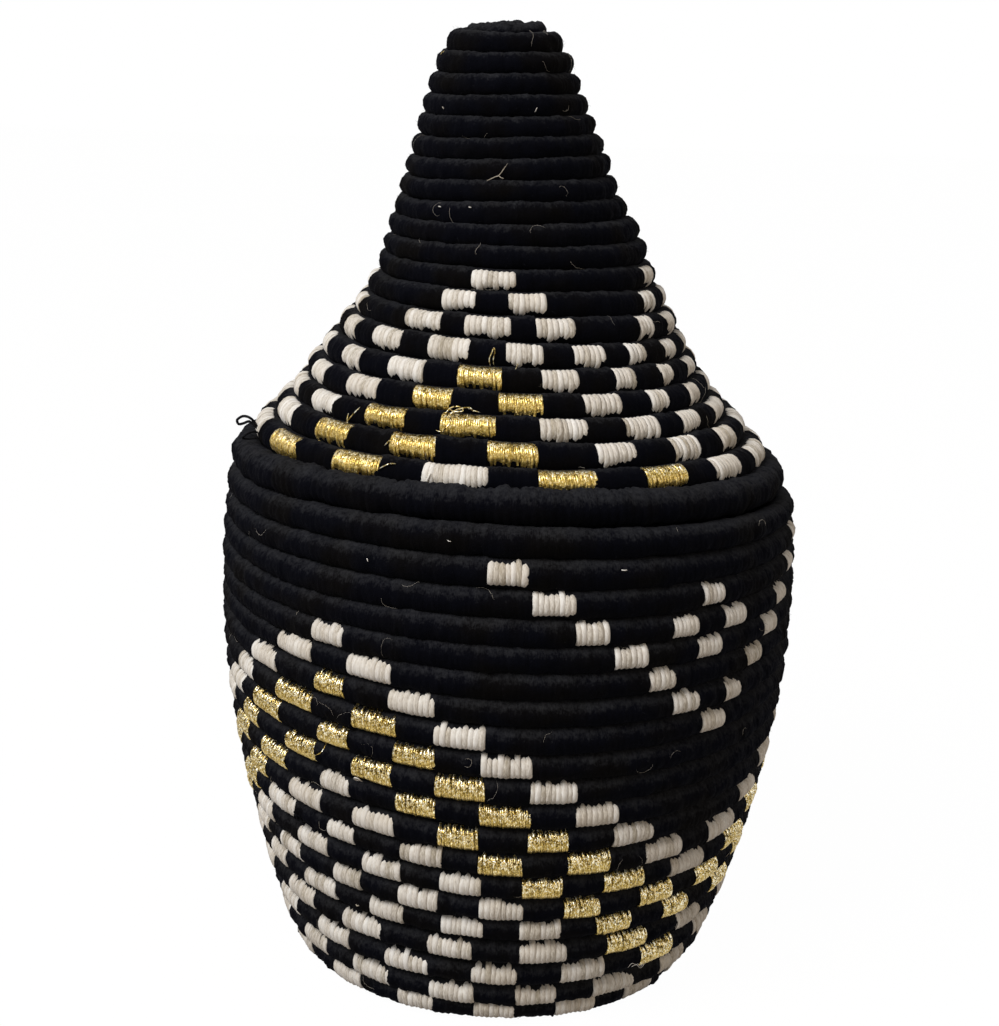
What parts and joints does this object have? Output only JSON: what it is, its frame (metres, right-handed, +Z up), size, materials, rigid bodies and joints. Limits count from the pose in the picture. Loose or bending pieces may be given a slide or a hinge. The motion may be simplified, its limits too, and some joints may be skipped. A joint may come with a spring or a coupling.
{
  "type": "lidded coiled basket",
  "caption": "Round coiled basket with bulging sides and a tall conical lid that lifts off, its rows wrapped in wool with stepped zigzags.",
  "frame": {"origin": "middle of the base, on the surface that the basket stands on", "axes": "+Z up through the lid's tip, -Y towards the front, +X to the right as seen from the front"},
  "size_m": [0.1748, 0.1748, 0.2821],
  "materials": {
    "black_wool": "matt, fuzzy wool yarn",
    "white_cotton": "matt, softly twisted cotton yarn",
    "gold_thread": "glittering metallic thread"
  },
  "bodies": {
    "basket": {"base_disc": "black_wool", "wall_coil": "black_wool"},
    "lid": {"lid_coil": "black_wool", "lid_cone_coil": "black_wool", "lid_tip": "black_wool", "lid_rim_roll": "black_wool", "lid_collar": "black_wool"}
  },
  "joints": [
    {"name": "lid_lift", "type": "slide", "parent": "basket", "child": "lid", "axis": [0, 0, 1], "range_m": [0, 0.15]}
  ]
}
